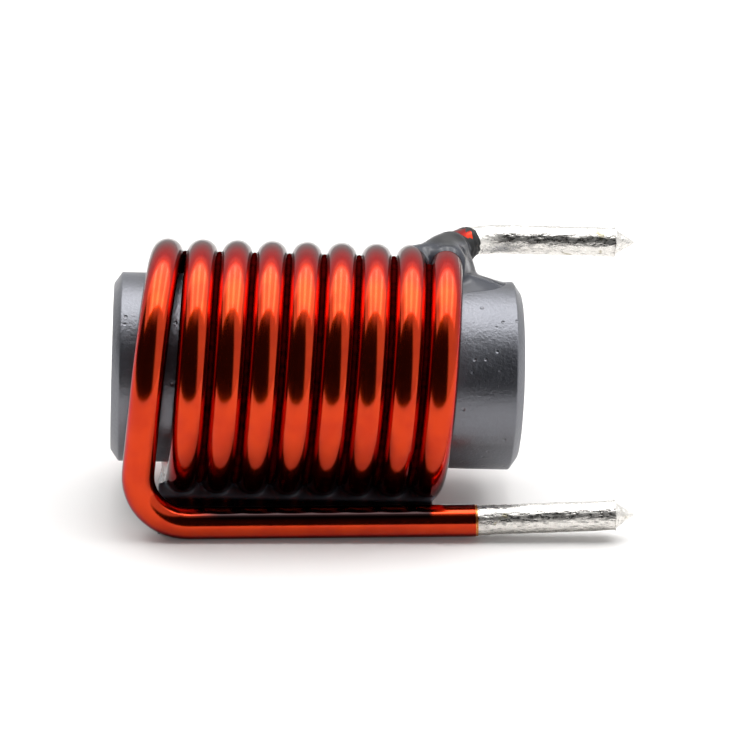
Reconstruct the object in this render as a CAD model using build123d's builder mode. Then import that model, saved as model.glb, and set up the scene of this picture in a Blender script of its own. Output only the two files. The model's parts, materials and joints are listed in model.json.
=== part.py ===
"""Power inductor: thick enamelled wire wound on a ferrite rod, both leads bent to leave the same end.

Millimetres. X runs along the rod towards the lead tips, +Z is up, and -Y is the side of the lower lead.
The origin is the centre of the rod's end face between the leads.
"""

from build123d import *
import os
from math import atan2, cos, pi, radians, sin, tan

# Ferrite rod
core_d = 9.2
core_len = 19.8
chamfer_len = 0.39
chamfer_depth = 0.56

# Enamelled round wire
copper_d = 1.50
enamel_film = 0.035

# Coil: a left-handed helix that climbs towards the lead tips, with this many turns between its first and last top
turns = 8
turn_gap = 0.126
core_clearance = 0.135
last_top_x = -3.76

# Lower lead: the wire leaves the helix behind the first top, runs down the front as a straight leg and bends
# under the coil
leave_deg = 110
leg_tilt_deg = 4.05
foot_bend_r = 2.4
lower_rise_deg = 1.96
lower_strip_x = -2.17
lower_strip_lift = 0.2
lower_tin_rise_deg = 3.7
lower_kink_r = 15
lower_base_x = 4.52
lower_point_len = 1.0

# Upper lead: the wire runs on from the last top and bends along the rod; its enamel ends within the bend
upper_lead_y = 4.3
exit_bend_r = 3.0
upper_strip_deg = 34
upper_base_x = 4.79
upper_point_len = 1.04

# Stripped and hot-tinned lead ends, pinched to a point
tin_d = 1.46
tin_wall = 0.05
shoulder_len = 0.1
blunt_r = 0.07

# Room left around the wire in the epoxy
seat_gap = 0.01

# Lower epoxy bead: from the grooves between the turns to the lower lead, settled flat underneath
groove_fill = 0.23
groove_top_deg = 38
crown_top_deg = 54
lead_hold = 0.35
lead_back = 0.47
lead_under = 0.2
lower_bead_left_x = -17.42
lower_bead_right_x = -4.15
bead_back_y = 2.0
bead_corner_r = 2.6

# Upper epoxy bead: a saddle behind the last turns and inside the exit bend, a sleeve over the first stretch of
# the bend, and a flare that stands on the rod
saddle_drop = 0.1
saddle_thick = 1.9
saddle_left = 1.3
saddle_front_y = 0.6
saddle_back_y = 2.1
saddle_end_deg = 50
saddle_side_deg = 15
saddle_side = 0.5
saddle_edge_r = 0.35
sleeve_wall = 0.16
sleeve_end_deg = 40
flare_x = -3.3
flare_deg = 70
flare_neck_r = 0.9
flare_r = 1.4
flare_sink = 0.5

# Sizes that follow
wire_r = copper_d / 2 + enamel_film
tin_r = tin_d / 2
stripped_r = tin_r - tin_wall
core_r = core_d / 2
coil_r = core_r + core_clearance + wire_r
coil_outer_r = coil_r + wire_r
pitch = 2 * wire_r + turn_gap
climb = atan2(pitch, 2 * pi * coil_r)
first_top_x = last_top_x - turns * pitch
helix_end_deg = 90 + 360 * turns


def coil_point(x, deg):
    """Point of the wire's centreline on the coil, deg 0 at the front, 90 on top and 180 behind."""
    return Vector(x, -coil_r * cos(radians(deg)), coil_r * sin(radians(deg)))


def coil_direction(deg):
    """Direction of the helix towards the lead tips."""
    turn = radians(deg)
    return Vector(sin(climb), cos(climb) * sin(turn), cos(climb) * cos(turn))


def rising(deg):
    """Unit vector in the XZ plane that rises by deg towards +X."""
    return Vector(cos(radians(deg)), 0, sin(radians(deg)))


def bend_ends(before, corner, after, radius):
    """Where an arc of this radius starts and ends when it rounds the corner of a route."""
    back = (before - corner).normalized()
    on = (after - corner).normalized()
    cut = radius / tan(radians(back.get_angle(on)) / 2)
    return corner + back * cut, corner + on * cut


def coil_line(start_deg, end_deg):
    """Centreline of the coil between two angles, counted from the front of the first turn."""
    start_x = last_top_x + pitch * (start_deg - helix_end_deg) / 360
    frame = Plane(origin=(start_x, 0, 0), x_dir=coil_point(0, start_deg), z_dir=(1, 0, 0))
    length = pitch * (end_deg - start_deg) / 360
    return frame * Helix(pitch, length, coil_r, lefthand=True, mode=Mode.PRIVATE)


def tube(edges, radius):
    """Round bar along edges that join end to end."""
    path = Wire(edges)
    with BuildPart() as swept:
        with BuildSketch(Plane(origin=path @ 0, z_dir=path % 0)):
            Circle(radius)
        sweep(path=path)
    return swept.part


# Route of the lower lead, from the strip edge to the first top; its kink starts at the strip edge
helix_x = first_top_x + pitch * (leave_deg - 90) / 360
helix_start = coil_point(helix_x, leave_deg)
helix_back = coil_direction(leave_deg) * -1
leg_down = rising(-90 - leg_tilt_deg)
leave_sum = helix_back + leg_down
leg_top = helix_start + leave_sum * ((-coil_r - helix_start.Y) / leave_sum.Y)
lower_strip = Vector(lower_strip_x, -coil_r, lower_strip_lift - coil_r)
lower_tin_dir = rising(lower_tin_rise_deg)
lower_base = lower_strip + lower_tin_dir * ((lower_base_x - lower_strip_x) / lower_tin_dir.X)
kink = lower_strip - lower_tin_dir * lower_kink_r * tan(radians(lower_tin_rise_deg - lower_rise_deg) / 2)
lead_run = rising(lower_rise_deg)
to_kink = kink - leg_top
leg_len = to_kink.cross(lead_run).Y / leg_down.cross(lead_run).Y
foot = leg_top + leg_down * leg_len
kink_out = kink + (foot - kink).normalized() * (lower_strip - kink).length
foot_in, foot_out = bend_ends(kink, foot, leg_top, foot_bend_r)

# Route of the upper lead, from the last top to the cone of its point
helix_end = coil_point(last_top_x, helix_end_deg)
exit_dir = coil_direction(helix_end_deg)
exit_corner = helix_end + exit_dir * (upper_lead_y / exit_dir.Y)
upper_base = Vector(upper_base_x, upper_lead_y, exit_corner.Z)
exit_in, exit_out = bend_ends(helix_end, exit_corner, upper_base, exit_bend_r)
exit_centre = exit_out - Vector(0, exit_bend_r, 0)


def on_exit_bend(deg, radius=exit_bend_r):
    """Point at a radius from the centre of the exit bend, deg counted from the side of the coil."""
    return exit_centre + Vector(-cos(radians(deg)), sin(radians(deg)), 0) * radius


upper_strip = on_exit_bend(90 - upper_strip_deg)
upper_strip_dir = Vector(cos(radians(upper_strip_deg)), sin(radians(upper_strip_deg)), 0)

# The part lies on the foot of the lower lead and on the last turn, so its rod is not quite level
rest_right = Vector(last_top_x - pitch / 2, 0, -coil_outer_r)
rest_left = Vector(foot_in.X, 0, foot_in.Z - wire_r)
rest_run = rest_right - rest_left
rest_frame = Plane(origin=rest_right, x_dir=rest_run, z_dir=rest_run.cross(Vector(0, 1, 0)))

os.makedirs("parts", exist_ok=True)

# Ferrite rod, pressed and sintered with a chamfer at each end
with BuildPart() as ferrite_core:
    with BuildSketch(Plane.XZ):
        Polygon(
            (-core_len, 0),
            (-core_len, core_r - chamfer_depth),
            (-core_len + chamfer_len, core_r),
            (-chamfer_len, core_r),
            (0, core_r - chamfer_depth),
            (0, 0),
            align=None,
        )
    revolve(axis=Axis.X)

# Centrelines of the enamelled wire and of its stripped ends
with BuildLine() as lower_lead:
    TangentArc(lower_strip, kink_out, tangent=lower_tin_dir * -1)
    Line(kink_out, foot_in)
    TangentArc(foot_in, foot_out, tangent=foot_in - kink_out)
    Line(foot_out, leg_top)
with BuildLine() as coil:
    TangentArc(helix_start, leg_top, tangent=helix_back)
    add(coil_line(leave_deg, helix_end_deg))
with BuildLine() as exit_bend:
    Line(helix_end, exit_in)
    TangentArc(exit_in, upper_strip, tangent=exit_dir)
with BuildLine() as lower_end:
    Line(lower_strip, lower_base)
with BuildLine() as upper_end:
    TangentArc(upper_strip, exit_out, tangent=upper_strip_dir)
    Line(exit_out, upper_base)
lower_edges = lower_lead.line.edges()
exit_edges = exit_bend.line.edges()

# One wire from strip edge to strip edge, with a thinner stripped end beyond each and a pinched point on it
with BuildPart() as winding:
    add(tube([*lower_edges, *coil.line.edges(), *exit_edges], wire_r))
    strip_edges = winding.edges().filter_by(GeomType.CIRCLE).sort_by(Axis.X)[-2:]
    chamfer(strip_edges, length=shoulder_len)
    for strip, strip_dir, end, base, point_len in (
        (lower_strip, lower_tin_dir, lower_end, lower_base, lower_point_len),
        (upper_strip, upper_strip_dir, upper_end, upper_base, upper_point_len),
    ):
        with BuildSketch(Plane(origin=strip, z_dir=strip_dir)):
            Circle(stripped_r)
        sweep(path=Wire(end.line.edges()))
        with Locations(Plane(origin=base, z_dir=end.line % 1)):
            Cone(stripped_r, 0, point_len - 2 * tin_wall, align=(Align.CENTER, Align.CENTER, Align.MIN))


# Solder coats: an even wall over each stripped end and its point
def solder_coat(strip, strip_dir, end, base, point_len):
    """Sleeve with a closed point, on the same centreline as the copper inside."""
    with BuildPart() as coat:
        with BuildSketch(Plane(origin=strip, z_dir=strip_dir)):
            Circle(tin_r)
            Circle(stripped_r, mode=Mode.SUBTRACT)
        sweep(path=Wire(end.line.edges()))
        with Locations(Plane(origin=base, z_dir=end.line % 1)):
            Cone(tin_r, blunt_r, point_len, align=(Align.CENTER, Align.CENTER, Align.MIN))
            Cone(
                stripped_r,
                0,
                point_len - 2 * tin_wall,
                align=(Align.CENTER, Align.CENTER, Align.MIN),
                mode=Mode.SUBTRACT,
            )
    return coat


lower_tin_coat = solder_coat(lower_strip, lower_tin_dir, lower_end, lower_base, lower_point_len)
upper_tin_coat = solder_coat(upper_strip, upper_strip_dir, upper_end, upper_base, upper_point_len)

# Room for the wire in the epoxy: the lower lead and each turn in the lower bead, the last two turns and the exit
# bend in the upper one
room_r = wire_r + seat_gap
across_lower_bead = (-170, -10)
behind_the_top = (20, 200)
up_to_last_top = (270, 450)
last_turn_deg = 360 * (turns - 1)
lower_rooms = [tube(lower_edges, room_r)]
for turn in range(1, turns + 1):
    lower_rooms.append(tube(coil_line(*(360 * turn + deg for deg in across_lower_bead)).edges(), room_r))
upper_rooms = [
    tube(coil_line(*(last_turn_deg + deg for deg in behind_the_top)).edges(), room_r),
    tube([*coil_line(*(last_turn_deg + deg for deg in up_to_last_top)).edges(), *exit_edges], room_r),
]

# Lower epoxy bead
groove_r = coil_r + groove_fill
bead_len = lower_bead_right_x - lower_bead_left_x
bead_mid_x = lower_bead_left_x + bead_len / 2
lead_centre = Vector(-coil_r, kink.Z + (bead_mid_x - kink.X) * tan(radians(lower_rise_deg)))
far_below = -2 * coil_outer_r
with BuildPart() as lower_glue_bead:
    with BuildSketch(Plane.YZ.offset(lower_bead_left_x)):
        with BuildLine():
            groove_top = Vector(-groove_r * cos(radians(groove_top_deg)), -groove_r * sin(radians(groove_top_deg)))
            crown_turn = radians(crown_top_deg)
            crown_top = Vector(-coil_outer_r * cos(crown_turn), -coil_outer_r * sin(crown_turn))
            on_lead = lead_centre + Vector(lead_hold, lead_hold)
            behind_lead = lead_centre + Vector(lead_back, -lead_under)
            ThreePointArc(groove_top, crown_top, on_lead)
            Polyline(
                on_lead,
                behind_lead,
                (behind_lead.X, far_below),
                (bead_back_y, far_below),
                (bead_back_y, 0),
                (groove_top.X, 0),
                groove_top,
            )
        make_face()
    extrude(amount=bead_len)
    with BuildSketch(Plane.YZ.offset(lower_bead_left_x)):
        Circle(groove_r)
    extrude(amount=bead_len, mode=Mode.SUBTRACT)
    split(bisect_by=rest_frame, keep=Keep.TOP)
    for room in lower_rooms:
        add(room, mode=Mode.SUBTRACT)
    with BuildSketch(Plane.XY.offset(far_below)) as bead_plan:
        with Locations((bead_mid_x, bead_back_y)):
            Rectangle(bead_len, -far_below, align=(Align.CENTER, Align.MAX))
        fillet(bead_plan.vertices().sort_by(Axis.Y)[-2:], bead_corner_r)
    extrude(amount=-far_below, mode=Mode.INTERSECT)

# Upper epoxy bead: the saddle with its top edges rounded, joined to the sleeve and the flare
saddle_top = coil_outer_r - saddle_drop
saddle_end = on_exit_bend(saddle_end_deg)
saddle_inner = on_exit_bend(saddle_side_deg, exit_bend_r - wire_r - saddle_side)
with BuildPart() as saddle:
    with BuildSketch(Plane.XY.offset(saddle_top - saddle_thick)):
        with BuildLine():
            Polyline(
                (last_top_x - saddle_left, saddle_front_y),
                (last_top_x - saddle_left, saddle_back_y),
                (saddle_end.X, saddle_end.Y),
                (saddle_inner.X, saddle_inner.Y),
                (saddle_inner.X, saddle_front_y),
                close=True,
            )
        make_face()
    extrude(amount=saddle_thick)
    fillet(saddle.faces().sort_by(Axis.Z)[-1].edges(), saddle_edge_r)

with BuildLine() as sleeve_line:
    Line(helix_end + exit_dir * (saddle_front_y / exit_dir.Y), exit_in)
    TangentArc(exit_in, on_exit_bend(sleeve_end_deg), tangent=exit_dir)
sleeve = tube(sleeve_line.line.edges(), wire_r + sleeve_wall)

flare_up = Vector(0, cos(radians(flare_deg)), sin(radians(flare_deg)))
flare_mouth = Vector(flare_x, 0, 0) + flare_up * (core_r - flare_sink)
neck_side = Vector(flare_x + flare_neck_r, 0, 0) + flare_up * core_r
with BuildPart() as upper_glue_bead:
    add(ferrite_core.part)
    with BuildSketch(Plane(origin=flare_mouth, x_dir=(1, 0, 0), z_dir=flare_up)):
        Circle(flare_neck_r)
    extrude(amount=saddle_top - core_r + flare_sink)
    fillet(upper_glue_bead.edges().sort_by_distance(neck_side)[0], flare_r)
    add(saddle.part)
    add(sleeve)
    add(ferrite_core.part, mode=Mode.SUBTRACT)
    for room in upper_rooms:
        add(room, mode=Mode.SUBTRACT)
    add(upper_tin_coat.part, mode=Mode.SUBTRACT)

for name, piece in (
    ("ferrite_core", ferrite_core),
    ("winding", winding),
    ("lower_tin_coat", lower_tin_coat),
    ("upper_tin_coat", upper_tin_coat),
    ("lower_glue_bead", lower_glue_bead),
    ("upper_glue_bead", upper_glue_bead),
):
    piece.part.label = name
    export_step(piece.part, f"parts/{name}.step")
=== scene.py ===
"""Looks of a rod-core power inductor: enamelled wire on a ferrite rod, tinned leads and black epoxy beads.

Sizes are in millimetres in the part's own frame: X along the rod towards the lead tips, Z up and -Y to the
camera. They are turned to metres as each mesh is made. Only the floor and the lamps are laid out in metres.
"""

import json
import logging
import math
from collections.abc import Callable
from dataclasses import dataclass, field
from enum import Enum

import bpy
import numpy as np
from bpy.types import Material, Node, NodeSocket, NodeTree, Object
from mathutils import Matrix, Vector

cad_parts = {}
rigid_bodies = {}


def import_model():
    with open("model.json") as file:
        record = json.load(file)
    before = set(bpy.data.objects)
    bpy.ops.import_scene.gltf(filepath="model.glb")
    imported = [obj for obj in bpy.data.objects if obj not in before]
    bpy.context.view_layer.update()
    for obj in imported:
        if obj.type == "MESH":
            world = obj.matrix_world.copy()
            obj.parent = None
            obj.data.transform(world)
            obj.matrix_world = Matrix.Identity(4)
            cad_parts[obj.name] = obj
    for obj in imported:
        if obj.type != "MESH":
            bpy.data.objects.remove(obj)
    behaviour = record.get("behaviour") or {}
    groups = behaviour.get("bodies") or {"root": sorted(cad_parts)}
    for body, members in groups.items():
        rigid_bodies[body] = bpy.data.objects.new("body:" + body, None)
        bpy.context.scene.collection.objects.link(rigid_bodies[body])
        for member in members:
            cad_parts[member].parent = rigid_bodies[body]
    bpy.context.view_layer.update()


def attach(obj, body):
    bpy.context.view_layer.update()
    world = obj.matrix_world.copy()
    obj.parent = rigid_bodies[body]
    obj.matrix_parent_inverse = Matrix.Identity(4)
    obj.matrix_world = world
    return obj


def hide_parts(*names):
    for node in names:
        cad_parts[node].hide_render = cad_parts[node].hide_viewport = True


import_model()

MM = 0.001
# Strength of each finer octave of a noise, next to the last
OCTAVE = 0.6
# Node settings that several finishes share
SOFT = {"interpolation_type": "SMOOTHSTEP"}
COLOURS = {"data_type": "RGBA"}
TIMES = {"operation": "MULTIPLY"}
TIMES_PLUS = {"operation": "MULTIPLY_ADD"}

log = logging.getLogger("inductor")

Distance = Callable[[np.ndarray, np.ndarray, np.ndarray], np.ndarray]
Point = tuple[float, float, float]
SocketValue = float | tuple[float, ...] | NodeSocket


class Slot(Enum):
    """Material slots of the record."""

    FERRITE = "ferrite"
    ENAMEL = "enamelled_copper"
    TIN = "solder_tin"
    EPOXY = "epoxy"


# Shared helpers


def linear(code: str) -> tuple[float, float, float, float]:
    """Turns an sRGB hex code into linear light.

    Args:
        code: Six hex digits after a hash.

    Returns:
        Red, green, blue and an alpha of one.
    """
    channels = [int(code[i : i + 2], 16) / 255 for i in (1, 3, 5)]
    return (*(c / 12.92 if c <= 0.04045 else ((c + 0.055) / 1.055) ** 2.4 for c in channels), 1.0)


def per_metre(size: float) -> float:
    """Scale of a pattern on Object coordinates whose features are this many millimetres wide."""
    return 1 / (size * MM)


def feed(node: Node, **sockets: SocketValue) -> None:
    """Sets or links the inputs of a node.

    Args:
        node: Shader node.
        **sockets: Input socket, by name with underscores for spaces or by in0, in1 and so on, to a value
            or to the output socket that feeds it.
    """
    for name, value in sockets.items():
        number = name.removeprefix("in")
        if number.isdigit():
            socket = node.inputs[int(number)]
        else:
            socket = next(s for s in node.inputs if s.enabled and s.name == name.replace("_", " "))
        if isinstance(value, NodeSocket):
            node.id_data.links.new(value, socket)
        else:
            socket.default_value = value


def add_node(tree: NodeTree, kind: str, settings: dict | None = None, **sockets: SocketValue) -> Node:
    """Adds a shader node, with its settings, socket values and links.

    Args:
        tree: Node tree that takes the node.
        kind: Class of the node, without the ShaderNode in front.
        settings: Attributes of the node itself.
        **sockets: Its inputs, as feed takes them.

    Returns:
        The new node.
    """
    node = tree.nodes.new("ShaderNode" + kind)
    for name, value in (settings or {}).items():
        setattr(node, name, value)
    feed(node, **sockets)
    return node


@dataclass
class Surface:
    """A new material with a bare Principled shader, to which a finish adds its patterns."""

    name: str
    material: Material = field(init=False)
    tree: NodeTree = field(init=False)
    shader: Node = field(init=False)
    place: NodeSocket = field(init=False)

    def __post_init__(self) -> None:
        """Makes the material, its shader and the coordinates that its patterns read."""
        self.material = bpy.data.materials.new(self.name)
        self.material.use_nodes = True
        self.tree = self.material.node_tree
        self.tree.nodes.clear()
        self.shader = add_node(self.tree, "BsdfPrincipled")
        add_node(self.tree, "OutputMaterial", Surface=self.shader.outputs[0])
        self.place = add_node(self.tree, "TexCoord").outputs["Object"]

    def add(self, kind: str, settings: dict | None = None, **sockets: SocketValue) -> NodeSocket:
        """Adds a node to the material, as add_node does.

        Args:
            kind: Class of the node, without the ShaderNode in front.
            settings: Attributes of the node itself.
            **sockets: Its inputs, as feed takes them.

        Returns:
            The first of its outputs that is in use.
        """
        node = add_node(self.tree, kind, settings, **sockets)
        return next(output for output in node.outputs if output.enabled)


def deselect_all() -> None:
    """Leaves nothing selected, so that an operator acts on the new piece alone."""
    for thing in bpy.context.view_layer.objects:
        thing.select_set(False)


def make_active(piece: Object) -> None:
    """Selects one object and makes it the active one.

    Args:
        piece: The object that the next operator acts on.
    """
    deselect_all()
    piece.select_set(True)
    bpy.context.view_layer.objects.active = piece


def settle(piece: Object, name: str, smooth_deg: float = 40) -> Object:
    """Bakes a piece's place into its mesh, names it and smooths its shading.

    Args:
        piece: Mesh object.
        name: Its name.
        smooth_deg: Edges sharper than this stay sharp.

    Returns:
        The same object, at the origin.
    """
    make_active(piece)
    piece.data.transform(piece.matrix_world)
    piece.matrix_world = Matrix.Identity(4)
    bpy.ops.object.shade_smooth_by_angle(angle=math.radians(smooth_deg))
    piece.name = name
    piece.data.name = name
    return piece


def dress(piece: Object, material: Material, slot: Slot, *nodes: str) -> Object:
    """Gives a piece its material and ties it to the part.

    Args:
        piece: Finished mesh object.
        material: Its finish.
        slot: Slot of the record; not used.
        *nodes: CAD nodes that the piece stands for.

    Returns:
        The same object.
    """
    piece.data.materials.clear()
    piece.data.materials.append(material)
    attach(piece, "root")
    if nodes:
        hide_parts(*nodes)
    log.info("%s: %d faces", piece.name, len(piece.data.polygons))
    return piece


def roughen(piece: Object, size: float, depth: float) -> None:
    """Displaces a mesh with soft lumps.

    Args:
        piece: Mesh object, in metres.
        size: Width of a lump in millimetres.
        depth: Height from hollow to hump in millimetres.
    """
    make_active(piece)
    clouds = bpy.data.textures.new(piece.name + "_lumps", "CLOUDS")
    clouds.noise_scale = size * MM
    clouds.noise_depth = 1
    lumps = piece.modifiers.new("lumps", "DISPLACE")
    lumps.texture = clouds
    lumps.texture_coords = "LOCAL"
    lumps.strength = depth * MM
    bpy.ops.object.modifier_apply(modifier="lumps")


def relax(piece: Object, rounds: int) -> None:
    """Evens out a skin's small steps.

    Args:
        piece: Mesh object.
        rounds: How many times each point moves towards its neighbours.
    """
    make_active(piece)
    ease = piece.modifiers.new("ease", "SMOOTH")
    ease.factor = 0.5
    ease.iterations = rounds
    bpy.ops.object.modifier_apply(modifier="ease")


# Geometry of the wire


@dataclass
class WireRoute:
    """Centreline of the wire, from the sizes of the coil and of its two leads.

    Points are in millimetres. Angles on the coil count from the front, 90 on top and 180 behind.
    """

    wire_r: float = 0.785
    coil_r: float = 5.52
    core_r: float = 4.6
    pitch: float = 1.696
    turns: int = 8
    last_top_x: float = -3.76
    leave_deg: float = 110
    leg_tilt_deg: float = 4.05
    foot_bend_r: float = 2.4
    lower_rise_deg: float = 1.96
    lower_strip_x: float = -2.17
    lower_strip_lift: float = 0.2
    lower_tin_rise_deg: float = 3.7
    lower_kink_r: float = 15
    lower_base_x: float = 4.52
    upper_lead_y: float = 4.3
    exit_bend_r: float = 3.0
    upper_strip_deg: float = 40
    upper_base_x: float = 4.79
    step: float = 0.3
    helix_start: Vector = field(init=False)
    leg_top: Vector = field(init=False)
    lower_strip: Vector = field(init=False)
    lower_tin_dir: Vector = field(init=False)
    lower_base: Vector = field(init=False)
    kink_out: Vector = field(init=False)
    foot_in: Vector = field(init=False)
    foot_out: Vector = field(init=False)
    helix_end: Vector = field(init=False)
    exit_in: Vector = field(init=False)
    exit_out: Vector = field(init=False)
    exit_centre: Vector = field(init=False)
    upper_strip: Vector = field(init=False)
    upper_strip_dir: Vector = field(init=False)
    upper_base: Vector = field(init=False)

    def __post_init__(self) -> None:
        """Works out the corners of both leads."""
        self.helix_start = self.coil_point(self.leave_deg)
        leg = self.rising(-90 - self.leg_tilt_deg)
        leave = leg - self.coil_direction(self.leave_deg)
        self.leg_top = self.helix_start + leave * ((-self.coil_r - self.helix_start.y) / leave.y)
        strip = Vector((self.lower_strip_x, -self.coil_r, self.lower_strip_lift - self.coil_r))
        self.lower_strip = strip
        self.lower_tin_dir = self.rising(self.lower_tin_rise_deg)
        self.lower_base = strip + self.lower_tin_dir * ((self.lower_base_x - strip.x) / self.lower_tin_dir.x)
        cut = self.lower_kink_r * math.tan(math.radians(self.lower_tin_rise_deg - self.lower_rise_deg) / 2)
        kink = strip - self.lower_tin_dir * cut
        run = self.rising(self.lower_rise_deg)
        foot = self.leg_top + leg * ((kink - self.leg_top).cross(run).y / leg.cross(run).y)
        self.kink_out = kink + (foot - kink).normalized() * cut
        self.foot_in, self.foot_out = self.bend_ends(kink, foot, self.leg_top, self.foot_bend_r)
        last = self.coil_point(self.end_deg)
        corner = last + self.coil_direction(self.end_deg) * (self.upper_lead_y / math.cos(self.climb))
        self.helix_end = last
        self.upper_base = Vector((self.upper_base_x, self.upper_lead_y, corner.z))
        self.exit_in, self.exit_out = self.bend_ends(last, corner, self.upper_base, self.exit_bend_r)
        self.exit_centre = self.exit_out - Vector((0, self.exit_bend_r, 0))
        turn = math.radians(self.upper_strip_deg)
        self.upper_strip = self.on_exit_bend(90 - self.upper_strip_deg)
        self.upper_strip_dir = Vector((math.cos(turn), math.sin(turn), 0))

    @property
    def climb(self) -> float:
        """Climb angle of the helix, in radians."""
        return math.atan2(self.pitch, 2 * math.pi * self.coil_r)

    @property
    def end_deg(self) -> float:
        """Angle at which the helix ends, on the last top."""
        return 90 + 360 * self.turns

    @property
    def lower_slope(self) -> float:
        """Rise of the enamelled lower lead for each millimetre along the rod."""
        return math.tan(math.radians(self.lower_rise_deg))

    def coil_point(self, deg: float) -> Vector:
        """Works out a point of the helix.

        Args:
            deg: Angle on the coil, past 360 for the later turns.

        Returns:
            The point on the wire's centreline.
        """
        turn = math.radians(deg)
        along = self.last_top_x + self.pitch * (deg - self.end_deg) / 360
        return Vector((along, -self.coil_r * math.cos(turn), self.coil_r * math.sin(turn)))

    def coil_direction(self, deg: float) -> Vector:
        """Works out which way the helix runs.

        Args:
            deg: Angle on the coil.

        Returns:
            Unit vector along the wire, towards the lead tips.
        """
        turn = math.radians(deg)
        flat = math.cos(self.climb)
        return Vector((math.sin(self.climb), flat * math.sin(turn), flat * math.cos(turn)))

    def on_exit_bend(self, deg: float) -> Vector:
        """Point of the exit bend, deg counted from the side of the coil."""
        turn = math.radians(deg)
        return self.exit_centre + Vector((-math.cos(turn), math.sin(turn), 0)) * self.exit_bend_r

    @staticmethod
    def rising(deg: float) -> Vector:
        """Unit vector in the XZ plane that rises by an angle towards +X."""
        return Vector((math.cos(math.radians(deg)), 0, math.sin(math.radians(deg))))

    @staticmethod
    def bend_ends(before: Vector, corner: Vector, after: Vector, radius: float) -> tuple[Vector, Vector]:
        """Rounds a corner with an arc.

        Args:
            before: A point on the way to the corner.
            corner: Where the two straight runs would meet.
            after: A point on the way out.
            radius: Radius of the arc.

        Returns:
            Where the arc starts and where it ends.
        """
        back = (before - corner).normalized()
        on = (after - corner).normalized()
        cut = radius / math.tan(back.angle(on) / 2)
        return corner + back * cut, corner + on * cut

    def line(self, start: Vector, end: Vector) -> list[Vector]:
        """Evenly spaced points after start, up to end."""
        count = max(1, round((end - start).length / self.step))
        return [start.lerp(end, (i + 1) / count) for i in range(count)]

    def arc(self, start: Vector, tangent: Vector, end: Vector) -> list[Vector]:
        """Follows the arc that leaves a point along a tangent and reaches another.

        Args:
            start: Where the arc starts.
            tangent: Its direction there, of any length.
            end: Where it ends.

        Returns:
            Evenly spaced points after start, up to end.
        """
        along = tangent.normalized()
        chord = end - start
        side = (chord - along * chord.dot(along)).normalized()
        radius = chord.length_squared / (2 * chord.dot(side))
        turn = 2 * math.atan2(chord.dot(side), chord.dot(along))
        count = max(2, round(abs(turn) * radius / self.step))
        swing = [turn * (i + 1) / count for i in range(count)]
        return [start + along * radius * math.sin(a) + side * radius * (1 - math.cos(a)) for a in swing]

    def foot_bend(self) -> list[Vector]:
        """Points after the straight of the lower lead, up to the foot of the leg."""
        return self.arc(self.foot_in, self.foot_in - self.kink_out, self.foot_out)

    def lower_lead(self) -> list[Vector]:
        """Follows the wire from the lower strip edge.

        Returns:
            Points up to the top of the leg.
        """
        points = [self.lower_strip] + self.arc(self.lower_strip, -self.lower_tin_dir, self.kink_out)
        points += self.line(self.kink_out, self.foot_in) + self.foot_bend()
        return points + self.line(self.foot_out, self.leg_top)

    def coil(self, step_deg: float = 3) -> list[Vector]:
        """Follows the wire from the top of the leg.

        Args:
            step_deg: Angle between two points, about.

        Returns:
            Points up to the end of the helix.
        """
        leave = self.arc(self.helix_start, -self.coil_direction(self.leave_deg), self.leg_top)
        points = leave[-2::-1] + [self.helix_start]
        count = round((self.end_deg - self.leave_deg) / step_deg)
        span = (self.end_deg - self.leave_deg) / count
        return points + [self.coil_point(self.leave_deg + span * (i + 1)) for i in range(count)]

    def exit_bend(self) -> list[Vector]:
        """Points after the end of the helix, up to the upper strip edge."""
        points = self.line(self.helix_end, self.exit_in)
        return points + self.arc(self.exit_in, self.exit_in - self.helix_end, self.upper_strip)

    def lower_end(self) -> list[Vector]:
        """Points of the stripped end of the lower lead."""
        return [self.lower_strip] + self.line(self.lower_strip, self.lower_base)

    def upper_end(self) -> list[Vector]:
        """Points of the stripped end of the upper lead."""
        points = [self.upper_strip] + self.arc(self.upper_strip, self.upper_strip_dir, self.exit_out)
        return points + self.line(self.exit_out, self.upper_base)

    def rest_points(self) -> tuple[Vector, Vector]:
        """Finds the two places that the part lies on.

        Returns:
            The underside of the lower lead's foot, and the bottom of the last turn.
        """
        left = Vector((self.foot_in.x, 0, self.foot_in.z - self.wire_r))
        right = Vector((self.last_top_x - self.pitch / 2, 0, -self.coil_r - self.wire_r))
        return left, right

    def floor_height(self, x: np.ndarray) -> np.ndarray:
        """Height of the surface that the part lies on, along the rod."""
        left, right = self.rest_points()
        return left.z + (x - left.x) * (right.z - left.z) / (right.x - left.x)


def tube_along(
    points: list[Vector], radius: float, name: str, swell: list[float] | None = None, fineness: int = 20
) -> Object:
    """Round bar along a line of points, as a mesh in metres.

    Args:
        points: Centreline in millimetres.
        radius: Radius in millimetres.
        name: Name of the object.
        swell: Share of the radius at each point, where it isn't even.
        fineness: Bevel resolution of the curve.

    Returns:
        The mesh object, with a UV map that runs along and around it.
    """
    curve = bpy.data.curves.new(name, "CURVE")
    curve.dimensions = "3D"
    curve.twist_mode = "MINIMUM"
    curve.bevel_depth = radius * MM
    curve.bevel_resolution = fineness
    curve.use_fill_caps = True
    spline = curve.splines.new("POLY")
    spline.points.add(len(points) - 1)
    for place, point, share in zip(spline.points, points, swell or [1.0] * len(points)):
        place.co = (*(point * MM), 1)
        place.radius = share
    piece = bpy.data.objects.new(name, curve)
    bpy.context.scene.collection.objects.link(piece)
    make_active(piece)
    bpy.ops.object.convert(target="MESH")
    return bpy.context.view_layer.objects.active


# Finishes


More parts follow.
